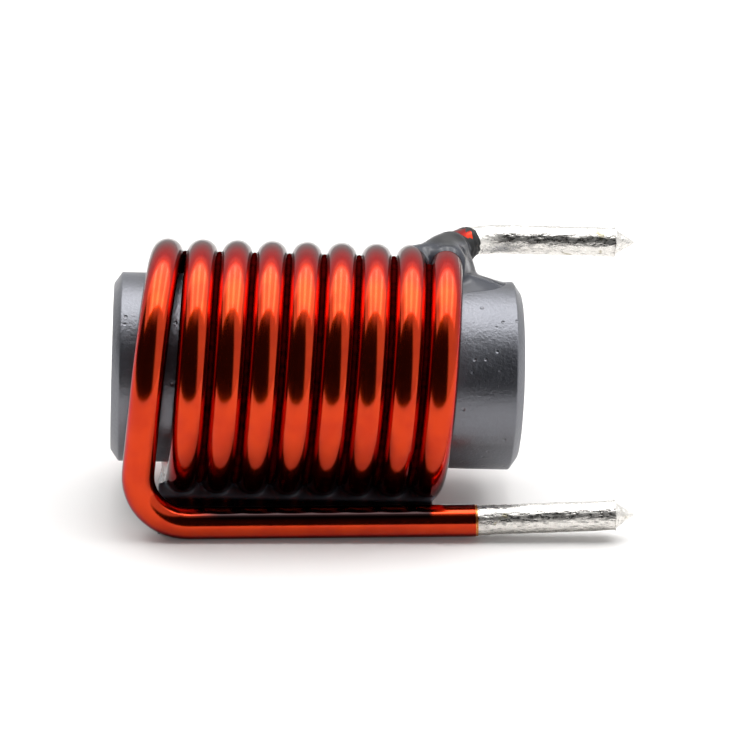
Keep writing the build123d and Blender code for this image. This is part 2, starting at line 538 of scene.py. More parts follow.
@dataclass(frozen=True)
class Enamel:
    """Clear orange-red polyurethane enamel over drawn copper.

    The copper under the varnish makes it a coloured metal: lamps show as yellow-orange streaks and dark
    surroundings as maroon, with a thin clear gloss on top that only shows at a slant. Beside the lower bead,
    where the coil hangs over the top of the lead and keeps the lamps out of its reflection, the colour is
    painted near-black as painted shade. Its painted_shade_x is where this starts and ends along the rod, its
    painted_shade_z the lower and upper edge once the lead's own rise is taken off, and its painted_shade_y
    where in depth it has faded out and where it is still full.
    """

    colour: str = "#c83603"
    deep: str = "#bb2d02"
    slant: str = "#400804"
    # Painted shade: near-black where the coil hangs over the top of the lower lead and keeps the lamps out of
    # its reflection
    stain_and_painted_shade: str = "#1c0203"
    painted_shade_x: tuple[float, float] = (-15.9, -4.3)
    painted_shade_x_fade: tuple[float, float] = (1.6, 0.15)
    painted_shade_z: tuple[float, float] = (-4.85, -4.25)
    painted_shade_z_fade: tuple[float, float] = (0.1, 0.05)
    painted_shade_y: tuple[float, float] = (-5.1, -5.2)
    rough: tuple[float, float] = (0.15, 0.19)
    pool: float = 1.4
    draw_marks: Point = (60, 22, 1)
    draw_depth: float = 0.002

    def painted_lead_shade(self, surface: Surface, lead_slope: float) -> NodeSocket:
        """Marks the painted shade on the top of the lower lead, where the coil hangs over it.

        Args:
            surface: The enamel's surface.
            lead_slope: Rise of the lower lead for each millimetre along the rod.

        Returns:
            Share of the painted shade, from 0 to 1.
        """
        x, y, z = add_node(surface.tree, "SeparateXYZ", Vector=surface.place).outputs
        height = surface.add("Math", TIMES_PLUS, in0=x, in1=-lead_slope, in2=z)
        left, right = self.painted_shade_x
        left_fade, right_fade = self.painted_shade_x_fade
        low, high = self.painted_shade_z
        low_fade, high_fade = self.painted_shade_z_fade
        share = 1.0
        for source, none_at, full_at in (
            (height, low - low_fade, low + low_fade),
            (height, high + high_fade, high - high_fade),
            (y, *self.painted_shade_y),
            (x, left - left_fade, left + left_fade),
            (x, right + right_fade, right - right_fade),
        ):
            edge = surface.add("MapRange", SOFT, Value=source, From_Min=none_at * MM, From_Max=full_at * MM)
            share = surface.add("Math", TIMES, in0=share, in1=edge)
        return share

    def material(self, lead_slope: float) -> Material:
        """Builds the material, with draw lines along the wire and faint pools in the varnish.

        Args:
            lead_slope: Rise of the lower lead for each millimetre along the rod.

        Returns:
            The material.
        """
        surface = Surface("enamelled_copper")
        wire_uv = add_node(surface.tree, "TexCoord").outputs["UV"]
        # Real draw lines are hair-thin: these are 22 around the wire, coarse enough to break up its streaks
        drawn = surface.add("Mapping", Vector=wire_uv, Scale=self.draw_marks)
        lines = surface.add("TexNoise", Vector=drawn, Scale=1.0, Detail=3, Roughness=OCTAVE)
        pools = surface.add(
            "TexNoise", Vector=surface.place, Scale=per_metre(self.pool), Detail=2, Roughness=OCTAVE
        )
        pooled = surface.add("MapRange", SOFT, Value=pools, From_Min=0.35, From_Max=0.7)
        clean = surface.add("Mix", COLOURS, Factor=pooled, A=linear(self.colour), B=linear(self.deep))
        # Painted shade on the top of the lower lead under the coil, in place of its blocked reflection
        painted_lead_shade = self.painted_lead_shade(surface, lead_slope)
        low, high = self.rough
        feed(
            surface.shader,
            Base_Color=surface.add("Mix", COLOURS, Factor=painted_lead_shade, A=clean, B=linear(self.stain_and_painted_shade)),
            Metallic=1.0,
            Roughness=surface.add(
                "MapRange", SOFT, Value=lines, From_Min=0.3, From_Max=0.7, To_Min=low, To_Max=high
            ),
            Specular_Tint=linear(self.slant),
            Coat_Weight=1.0,
            Coat_Roughness=0.08,
            Coat_IOR=1.25,
            Normal=surface.add("Bump", Height=lines, Distance=self.draw_depth * MM, Strength=1.0),
        )
        return surface.material


@dataclass(frozen=True)
class Ferrite:
    """Sintered manganese-zinc ferrite, ground round: dark blue-grey ceramic, semi-matt, with small pores."""

    colour: str = "#26282d"
    light: str = "#34373d"
    pore: str = "#101114"
    sheen: str = "#eef0fa"
    ior: float = 2.4
    cloud: float = 2.2
    cloud_depth: float = 0.03
    grain: float = 0.16
    grain_depth: float = 0.02
    pore_gap: float = 0.75
    pore_depth: float = 0.03

    def material(self) -> Material:
        """Builds the material.

        Returns:
            The material, with grain, cloudy patches and pores.
        """
        surface = Surface("sintered_ferrite")
        place = surface.place
        clouds = surface.add(
            "TexNoise", Vector=place, Scale=per_metre(self.cloud), Detail=4, Roughness=OCTAVE
        )
        grain = surface.add(
            "TexNoise", Vector=place, Scale=per_metre(self.grain), Detail=3, Roughness=OCTAVE
        )
        cells = surface.add("TexVoronoi", Vector=place, Scale=per_metre(self.pore_gap))
        pores = surface.add("MapRange", SOFT, Value=cells, From_Min=0.13, From_Max=0.05)
        cloudy = surface.add("MapRange", SOFT, Value=clouds, From_Min=0.4, From_Max=0.65)
        grainy = surface.add("MapRange", SOFT, Value=grain, From_Min=0.3, From_Max=0.75, To_Max=0.55)
        body = surface.add("Mix", COLOURS, Factor=cloudy, A=linear(self.colour), B=linear(self.light))
        speckled = surface.add("Mix", COLOURS, Factor=grainy, A=body, B=linear(self.pore))
        walls = surface.add("MapRange", SOFT, Value=cells, From_Min=0.05, From_Max=0.16)
        normal = surface.add("Bump", Height=grain, Distance=self.grain_depth * MM, Strength=1.0)
        for height, depth in ((clouds, self.cloud_depth), (walls, self.pore_depth)):
            normal = surface.add("Bump", Height=height, Distance=depth * MM, Strength=1.0, Normal=normal)
        feed(
            surface.shader,
            Base_Color=surface.add("Mix", COLOURS, Factor=pores, A=speckled, B=linear(self.pore)),
            Roughness=surface.add(
                "MapRange", SOFT, Value=clouds, From_Min=0.35, From_Max=0.7, To_Min=0.3, To_Max=0.38
            ),
            IOR=self.ior,
            Specular_Tint=linear(self.sheen),
            Normal=normal,
        )
        return surface.material


@dataclass(frozen=True)
class DippedTin:
    """Hot-dipped solder tin: bright, a little lumpy, with grey dross and cream flux."""

    bright: str = "#e6e3de"
    dross: str = "#8d8b88"
    flux: str = "#8a7f4c"
    stretch: Point = (0.35, 1, 1)
    lump: float = 0.3
    lump_depth: float = 0.05
    crumb: float = 0.11
    crumb_depth: float = 0.03
    stain_and_painted_shade: float = 0.9

    def material(self) -> Material:
        """Builds the material.

        Returns:
            The material, with lumps that break up its reflections and drag marks along the wire.
        """
        surface = Surface("dipped_tin")
        dragged = surface.add("Mapping", Vector=surface.place, Scale=self.stretch)
        lumps = surface.add(
            "TexNoise", Vector=dragged, Scale=per_metre(self.lump), Detail=2, Roughness=OCTAVE
        )
        crumbs = surface.add(
            "TexNoise", Vector=dragged, Scale=per_metre(self.crumb), Detail=3, Roughness=OCTAVE
        )
        stains = surface.add(
            "TexNoise", Vector=surface.place, Scale=per_metre(self.stain_and_painted_shade), Detail=2, Roughness=OCTAVE
        )
        dull_and_painted_sheen = surface.add("MapRange", SOFT, Value=crumbs, From_Min=0.52, From_Max=0.72, To_Max=0.85)
        shade = surface.add("Mix", COLOURS, Factor=dull_and_painted_sheen, A=linear(self.bright), B=linear(self.dross))
        fluxed = surface.add("MapRange", SOFT, Value=stains, From_Min=0.66, From_Max=0.74, To_Max=0.6)
        lumpy = surface.add("Bump", Height=lumps, Distance=self.lump_depth * MM, Strength=1.0)
        feed(
            surface.shader,
            Base_Color=surface.add("Mix", COLOURS, Factor=fluxed, A=shade, B=linear(self.flux)),
            Metallic=1.0,
            Roughness=surface.add(
                "MapRange", SOFT, Value=crumbs, From_Min=0.35, From_Max=0.7, To_Min=0.2, To_Max=0.45
            ),
            Normal=surface.add(
                "Bump", Height=crumbs, Distance=self.crumb_depth * MM, Strength=1.0, Normal=lumpy
            ),
        )
        return surface.material


@dataclass(frozen=True)
class BareCopper:
    """Scraped copper at the end of the enamel: warm gold-orange, finely scratched."""

    colour: str = "#e8a05c"
    dark: str = "#a8582c"
    scratch: float = 0.06
    scratch_depth: float = 0.01

    def material(self) -> Material:
        """Builds the material.

        Returns:
            The material, with fine scratches.
        """
        surface = Surface("scraped_copper")
        marks = surface.add(
            "TexNoise", Vector=surface.place, Scale=per_metre(self.scratch), Detail=3, Roughness=OCTAVE
        )
        dulled = surface.add("MapRange", SOFT, Value=marks, From_Min=0.35, From_Max=0.7)
        feed(
            surface.shader,
            Base_Color=surface.add("Mix", COLOURS, Factor=dulled, A=linear(self.colour), B=linear(self.dark)),
            Metallic=1.0,
            Roughness=0.32,
            Normal=surface.add("Bump", Height=marks, Distance=self.scratch_depth * MM, Strength=1.0),
        )
        return surface.material


@dataclass(frozen=True)
class GapVarnishAndShade:
    """Varnish in the throat between two turns, coloured red-black and without gloss: painted shade of the
    narrow gap, tinted by the red light that bounces between the turns.
    """

    # Painted shade: the dark red of the narrow gap between turns, where light bounces off the red wire
    colour: str = "#3e0303"
    deep: str = "#240202"
    drip: float = 0.4
    drip_depth: float = 0.02

    def material(self) -> Material:
        """Builds the material.

        Returns:
            The material, with small runs along the gap.
        """
        surface = Surface("gap_varnish_and_painted_shade")
        runs = surface.add(
            "TexNoise", Vector=surface.place, Scale=per_metre(self.drip), Detail=2, Roughness=OCTAVE
        )
        pooled = surface.add("MapRange", SOFT, Value=runs, From_Min=0.4, From_Max=0.7)
        feed(
            surface.shader,
            Base_Color=surface.add("Mix", COLOURS, Factor=pooled, A=linear(self.colour), B=linear(self.deep)),
            Roughness=0.6,
            Specular_IOR_Level=0.0,
            Normal=surface.add("Bump", Height=runs, Distance=self.drip_depth * MM, Strength=1.0),
        )
        return surface.material


@dataclass(frozen=True)
class BlackEpoxy:
    """Black two-part epoxy, cured from a run: glossy and softly wavy, with a painted sheen close to the coil.

    The painted sheen is a lighter grey painted where the glue beside the coil shows a grey reflection. It
    lies within painted_sheen_r of the rod's axis and in front of painted_sheen_y, and what lies behind
    painted_sheen_y is rougher, charred by the bath of hot tin.
    """

    colour: str = "#07080b"
    dusty: str = "#101116"
    # Painted sheen: the lighter grey of the reflection on the glue next to the coil
    dull_and_painted_sheen: str = "#343740"
    painted_sheen_r: tuple[float, float] = (6.35, 6.6)
    painted_sheen_y: tuple[float, float] = (2.4, 2.7)
    char_rough: float = 0.4
    wave: float = 1.1
    wave_depth: float = 0.03
    grain: float = 0.12
    grain_depth: float = 0.002

    def material(self) -> Material:
        """Builds the material.

        Returns:
            The material, with slow waves, a fine skin, a trace of dust and a painted sheen near the coil.
        """
        surface = Surface("black_epoxy")
        place = surface.place
        waves = surface.add(
            "TexNoise", Vector=place, Scale=per_metre(self.wave), Detail=1, Roughness=OCTAVE
        )
        grain = surface.add(
            "TexNoise", Vector=place, Scale=per_metre(self.grain), Detail=2, Roughness=OCTAVE
        )
        section = surface.add("Mapping", Vector=place, Scale=(0, 1, 1))
        reach = surface.add("VectorMath", {"operation": "LENGTH"}, in0=section)
        depth = add_node(surface.tree, "SeparateXYZ", Vector=place).outputs["Y"]
        near, far = (edge * MM for edge in self.painted_sheen_r)
        front, back = (edge * MM for edge in self.painted_sheen_y)
        around = surface.add("MapRange", SOFT, Value=reach, From_Min=far, From_Max=near)
        ahead = surface.add("MapRange", SOFT, Value=depth, From_Min=back, From_Max=front)
        behind = surface.add("MapRange", SOFT, Value=depth, From_Min=front, From_Max=back)
        # Painted sheen: a lighter grey band on the glue just outside the coil, at the front
        painted_sheen_mask = surface.add("Math", TIMES, in0=around, in1=ahead)
        dusted = surface.add("MapRange", SOFT, Value=grain, From_Min=0.5, From_Max=0.8)
        black = surface.add("Mix", COLOURS, Factor=dusted, A=linear(self.colour), B=linear(self.dusty))
        gloss = surface.add(
            "MapRange", SOFT, Value=grain, From_Min=0.3, From_Max=0.8, To_Min=0.14, To_Max=0.26
        )
        wavy = surface.add("Bump", Height=waves, Distance=self.wave_depth * MM, Strength=1.0)
        feed(
            surface.shader,
            Base_Color=surface.add("Mix", COLOURS, Factor=painted_sheen_mask, A=black, B=linear(self.dull_and_painted_sheen)),
            Roughness=surface.add("Math", TIMES_PLUS, in0=behind, in1=self.char_rough, in2=gloss),
            Specular_IOR_Level=0.42,
            Normal=surface.add(
                "Bump", Height=grain, Distance=self.grain_depth * MM, Strength=1.0, Normal=wavy
            ),
        )
        return surface.material


# Skin of a cured bead


def smooth_union(a: np.ndarray, b: np.ndarray, blend: float) -> np.ndarray:
    """Distance to two forms joined by a fillet of about the blend's size."""
    share = np.clip(0.5 + 0.5 * (b - a) / blend, 0, 1)
    return b + (a - b) * share - blend * share * (1 - share)


def chain_distance(x: np.ndarray, y: np.ndarray, z: np.ndarray, points: list[Vector]) -> np.ndarray:
    """Measures from places to a chain of straight segments.

    Args:
        x: Coordinates along the rod, in millimetres.
        y: Coordinates in depth.
        z: Heights.
        points: Corners of the chain.

    Returns:
        Distance of each place from the chain.
    """
    best = np.full(np.broadcast(x, y, z).shape, np.inf)
    for a, b in zip(points, points[1:]):
        run = b - a
        share = ((x - a.x) * run.x + (y - a.y) * run.y + (z - a.z) * run.z) / run.length_squared
        share = np.clip(share, 0, 1)
        near = a.x + share * run.x, a.y + share * run.y, a.z + share * run.z
        best = np.minimum(best, np.sqrt((x - near[0]) ** 2 + (y - near[1]) ** 2 + (z - near[2]) ** 2))
    return best


def coil_distance(route: WireRoute, x: np.ndarray, y: np.ndarray, z: np.ndarray) -> np.ndarray:
    """Measures from places to the surface of the coil's turns.

    Args:
        route: The wire.
        x: Coordinates along the rod, in millimetres.
        y: Coordinates in depth.
        z: Heights.

    Returns:
        Distance of each place from the nearest turn, negative inside the wire.
    """
    deg = np.degrees(np.arctan2(z, -y))
    turn = np.round((x - route.last_top_x) / route.pitch + (route.end_deg - deg) / 360)
    turn = np.where(360 * turn + deg > route.end_deg, turn - 1, turn)
    turn = np.where(360 * turn + deg < route.leave_deg, turn + 1, turn)
    turn_x = route.last_top_x + route.pitch * (360 * turn + deg - route.end_deg) / 360
    off = (x - turn_x) * math.cos(route.climb)
    return np.sqrt((np.hypot(y, z) - route.coil_r) ** 2 + off**2) - route.wire_r


def pull_to_skin(place: np.ndarray, distance: Distance, cell: float) -> np.ndarray:
    """Moves points along the slope of a distance until it is nearly zero there.

    Args:
        place: Points, one to a row.
        distance: Function of arrays x, y and z.
        cell: Size of a cell, of which half is the most that a point moves.

    Returns:
        The moved points.
    """
    reach = cell * 0.05
    x, y, z = place.T
    slope = np.stack(
        [
            distance(x + reach, y, z) - distance(x - reach, y, z),
            distance(x, y + reach, z) - distance(x, y - reach, z),
            distance(x, y, z + reach) - distance(x, y, z - reach),
        ],
        axis=1,
    ) / (2 * reach)
    steep = np.maximum((slope**2).sum(axis=1), 0.25)
    move = slope * (distance(x, y, z) / steep)[:, None]
    return place - np.clip(move, -cell / 2, cell / 2)


def skin(name: str, low: Vector, high: Vector, cell: float, distance: Distance) -> Object:
    """Closed mesh of the surface on which a distance is zero, by surface nets.

    Args:
        name: Name of the object.
        low: Lowest corner of the box that holds the form, in millimetres.
        high: Highest corner of the box.
        cell: Size of a cell.
        distance: Function of arrays x, y and z that is negative inside the form.

    Returns:
        The mesh object, in metres.
    """
    axes = [np.arange(a, b + cell, cell) for a, b in zip(low, high)]
    values = distance(*np.meshgrid(*axes, indexing="ij"))
    shape = [n - 1 for n in values.shape]
    corners = [(i, j, k) for i in (0, 1) for j in (0, 1) for k in (0, 1)]

    def view(array: np.ndarray, corner: tuple[int, int, int]) -> np.ndarray:
        """The array as each cell sees it at one of its corners."""
        return array[tuple(slice(c, c + n) for c, n in zip(corner, shape))]

    # Each cell's point is the mean of the crossings on its edges
    total = np.zeros((*shape, 3))
    count = np.zeros(shape)
    for a in corners:
        for axis in range(3):
            if a[axis]:
                continue
            b = tuple(c + (i == axis) for i, c in enumerate(a))
            here, beyond = view(values, a), view(values, b)
            cross = (here < 0) != (beyond < 0)
            share = np.where(cross, here / np.where(cross, here - beyond, 1), 0)
            for i in range(3):
                total[..., i] += cross * (a[i] + share * (i == axis))
            count += cross
    active = count > 0
    index = np.full(shape, -1)
    index[active] = np.arange(active.sum())
    cells = np.stack(np.nonzero(active), axis=1)
    place = (cells + total[active] / count[active][:, None]) * cell + np.array(low)[None, :]
    for _ in range(3):
        place = pull_to_skin(place, distance, cell)

    # Each grid edge that crosses the skin makes a face of the four cells around it
    inside = values < 0
    quads = []
    for axis in range(3):
        u, v = (axis + 1) % 3, (axis + 2) % 3
        start = view(inside, (0, 0, 0))
        edge = start != view(inside, tuple(int(i == axis) for i in range(3)))
        for side in (u, v):
            edge = np.where(np.indices(shape)[side] > 0, edge, False)
        at = np.stack(np.nonzero(edge), axis=1)
        du, dv = np.zeros(3, int), np.zeros(3, int)
        du[u] = dv[v] = 1
        ring = np.stack([index[tuple((at - s).T)] for s in (0 * du, du, du + dv, dv)], axis=1)
        flip = ~start[tuple(at.T)]
        ring[flip] = ring[flip][:, ::-1]
        quads.append(ring)
    mesh = bpy.data.meshes.new(name)
    mesh.from_pydata((place * MM).tolist(), [], np.concatenate(quads).tolist())
    mesh.update()
    piece = bpy.data.objects.new(name, mesh)
    bpy.context.scene.collection.objects.link(piece)
    return piece


# Pieces


@dataclass
class FerriteRod:
    """The rod, with a chamfer at each end."""

    route: WireRoute
    length: float = 19.8
    chamfer_len: float = 0.39
    chamfer_depth: float = 0.56
    edge_r: float = 0.06
    sides: int = 192
    finish: Ferrite = Ferrite()

    def build(self) -> Object:
        """Makes the rod from a cylinder whose ends are drawn in.

        Returns:
            The rod.
        """
        radius = self.route.core_r
        deselect_all()
        bpy.ops.mesh.primitive_cylinder_add(
            vertices=self.sides,
            radius=radius * MM,
            depth=(self.length - 2 * self.chamfer_len) * MM,
            end_fill_type="NGON",
            location=(-self.length / 2 * MM, 0, 0),
            rotation=(0, math.pi / 2, 0),
        )
        rod = bpy.context.view_layer.objects.active
        small = 1 - self.chamfer_depth / radius
        for side in (-1, 1):
            self.select_end(rod, side)
            out = (side * self.chamfer_len * MM, 0, 0)
            bpy.ops.mesh.extrude_region_move(TRANSFORM_OT_translate={"value": out})
            bpy.ops.transform.resize(value=(1, small, small), center_override=(0, 0, 0))
            bpy.ops.object.mode_set(mode="OBJECT")
        bevel = rod.modifiers.new("edge", "BEVEL")
        bevel.width = self.edge_r * MM
        bevel.segments = 3
        bevel.limit_method = "ANGLE"
        bpy.ops.object.modifier_apply(modifier="edge")
        return dress(settle(rod, "ferrite_rod"), self.finish.material(), Slot.FERRITE, "ferrite_core")

    @staticmethod
    def select_end(rod: Object, side: int) -> None:
        """Enters edit mode with one end face selected.

        Args:
            rod: The rod, which still lies along its own Z.
            side: -1 for the end towards -X, or 1.
        """
        for part in (rod.data.vertices, rod.data.edges, rod.data.polygons):
            for item in part:
                item.select = False
        for face in rod.data.polygons:
            face.select = face.normal.z * side > 0.9
        bpy.ops.object.mode_set(mode="EDIT")
        bpy.ops.mesh.select_mode(type="FACE")


@dataclass
class Winding:
    """The enamelled wire, the varnish between its turns in a red-black of painted shade, and scraped copper
    at each end of its enamel.
    """

    route: WireRoute
    finish: Enamel = Enamel()
    bare: BareCopper = BareCopper()
    varnish: GapVarnishAndShade = GapVarnishAndShade()
    ring_r: float = 0.755
    ring_len: float = 0.12
    ring_back: float = 0.05
    throat_r: float = 0.12
    throat_rise: float = 0.08

    def throat(self, step_deg: float = 4) -> list[Vector]:
        """Follows the line midway between the turns.

        Args:
            step_deg: Angle between two points.

        Returns:
            Points from between the first two turns to between the last two.
        """
        route = self.route
        count = round((route.end_deg - 360 - route.leave_deg) / step_deg)
        out = 1 + self.throat_rise / route.coil_r
        points = [route.coil_point(route.leave_deg + i * step_deg) for i in range(count + 1)]
        return [Vector((p.x + route.pitch / 2, p.y * out, p.z * out)) for p in points]

    def build(self) -> None:
        """Makes the wire, the varnish between its turns whose red-black is painted shade, and the two rings.
        """
        route = self.route
        points = route.lower_lead() + route.coil() + route.exit_bend()
        wire = settle(tube_along(points, route.wire_r, "enamelled_wire"), "enamelled_wire")
        dress(wire, self.finish.material(route.lower_slope), Slot.ENAMEL, "winding")
        # The filler in the throats is red-black: painted shade of the gaps between the turns
        bed = settle(tube_along(self.throat(), self.throat_r, "turn_varnish_and_painted_shade", fineness=3), "turn_varnish_and_painted_shade")
        dress(bed, self.varnish.material(), Slot.ENAMEL)
        bare = self.bare.material()
        for name, start, on in (
            ("lower_copper_ring", route.lower_strip, route.lower_tin_dir),
            ("upper_copper_ring", route.upper_strip, route.upper_strip_dir),
        ):
            ends = [start - on * self.ring_back, start + on * self.ring_len]
            dress(settle(tube_along(ends, self.ring_r, name), name), bare, Slot.ENAMEL)


@dataclass
class TinnedEnd:
    """A stripped lead end, dipped in solder and pinched to a point, with a burr where the pinch starts.

    The profile holds pairs of a share of the point's length and a share of the radius there.
    """

    name: str
    node: str
    points: list[Vector]
    point_len: float
    radius: float = 0.72
    profile: tuple[tuple[float, float], ...] = (
        (0.0, 1.0), (0.015, 1.06), (0.05, 1.05), (0.06, 0.92),
        (0.3, 0.66), (0.6, 0.38), (0.9, 0.12), (0.97, 0.04),
    )
    lump: float = 0.9
    lump_depth: float = 0.05

    def build(self, material: Material) -> Object:
        """Makes the end from a tube whose last rings are drawn in to the point.

        Args:
            material: The tin that both ends share.

        Returns:
            The end.
        """
        tip = self.points[-1]
        on = (tip - self.points[-2]).normalized()
        points = self.points[:-1] + [tip + on * (share * self.point_len) for share, _ in self.profile]
        swell = [1.0] * (len(self.points) - 1) + [size for _, size in self.profile]
        end = tube_along(points, self.radius, self.name, swell)
        roughen(end, self.lump, self.lump_depth)
        return dress(settle(end, self.name), material, Slot.TIN, self.node)


@dataclass
class LowerBead:
    """Epoxy run between the coil and the lower lead, settled flat underneath."""

    route: WireRoute
    # Brighter painted sheen for the grey reflection band where the glue meets the coil
    finish: BlackEpoxy = BlackEpoxy(dull_and_painted_sheen="#60656f")
    left_x: float = -17.42
    right_x: float = -4.15
    back_y: float = 2.0
    groove_fill: float = 0.2
    corner_r: float = 2.6
    front_hold: float = 0.42
    crown_deg: float = 52.6
    ramp_deg: float = 60
    pool_up: float = 0.42
    pool_blend: float = 0.3
    blend: float = 0.3
    wet: float = 0.35
    tuck: float = 0.03
    cell: float = 0.08
    margin: float = 0.8
    box_front: float = -6.4
    box_z: tuple[float, float] = (-7.0, -2.9)

    def distance(self, x: np.ndarray, y: np.ndarray, z: np.ndarray) -> np.ndarray:
        """Measures from places to the bead's skin.

        Args:
            x: Coordinates along the rod, in millimetres.
            y: Coordinates in depth.
            z: Heights.

        Returns:
            Distance of each place, negative inside the bead.
        """
        route = self.route
        lead = chain_distance(x, y, z, [route.kink_out, route.foot_in] + route.foot_bend()) - route.wire_r
        wires = np.minimum(coil_distance(route, x, y, z), lead) + self.tuck
        floor = route.floor_height(x)
        lead_z = route.kink_out.z + (x - route.kink_out.x) * route.lower_slope
        front_y = -route.coil_r + self.front_hold
        block = np.maximum.reduce(
            [
                self.plan(x, y, front_y),
                floor - z,
                route.coil_r + self.groove_fill - np.hypot(y, z),
                front_y - y,
                smooth_union(self.ramp(y, z), z - lead_z - self.pool_up, self.pool_blend),
            ]
        )
        body = smooth_union(block, np.maximum(wires, block - self.wet), self.blend)
        return np.maximum(body, floor - z)

    def plan(self, x: np.ndarray, y: np.ndarray, front_y: float) -> np.ndarray:
        """Measures to the bead's outline as seen from above, with round corners behind.

        Args:
            x: Coordinates along the rod, in millimetres.
            y: Coordinates in depth.
            front_y: Where the bead ends at the front.

        Returns:
            Distance of each place from the outline, negative within it.
        """
        half_x = (self.right_x - self.left_x) / 2
        half_y = (self.back_y - front_y) / 2 + self.corner_r
        qx = np.abs(x - self.left_x - half_x) - half_x + self.corner_r
        qy = np.abs(y - self.back_y + half_y) - half_y + self.corner_r
        corner = np.hypot(np.maximum(qx, 0), np.maximum(qy, 0)) - self.corner_r
        return corner + np.minimum(np.maximum(qx, qy), 0)

    def ramp(self, y: np.ndarray, z: np.ndarray) -> np.ndarray:
        """Measures to the slope on which the epoxy climbs from the lead to the coil.

        Args:
            y: Coordinates in depth, in millimetres.
            z: Heights.

        Returns:
            Distance of each place above the slope.
        """
        crown, tilt = math.radians(self.crown_deg), math.radians(self.ramp_deg)
        crown_r = self.route.coil_r + self.route.wire_r
        off_y, off_z = y + crown_r * math.cos(crown), z + crown_r * math.sin(crown)
        return off_z * math.sin(tilt) - off_y * math.cos(tilt)

    def build(self) -> Object:
        """Makes the bead's skin.

        Returns:
            The bead.
        """
        bottom, top = self.box_z
        low = Vector((self.left_x - self.margin, self.box_front, bottom))
        high = Vector((self.right_x + self.margin, self.back_y + self.margin, top))
        bead = skin("lower_epoxy_bead", low, high, self.cell, self.distance)
        relax(bead, 4)
        return dress(settle(bead, bead.name, 80), self.finish.material(), Slot.EPOXY, "lower_glue_bead")


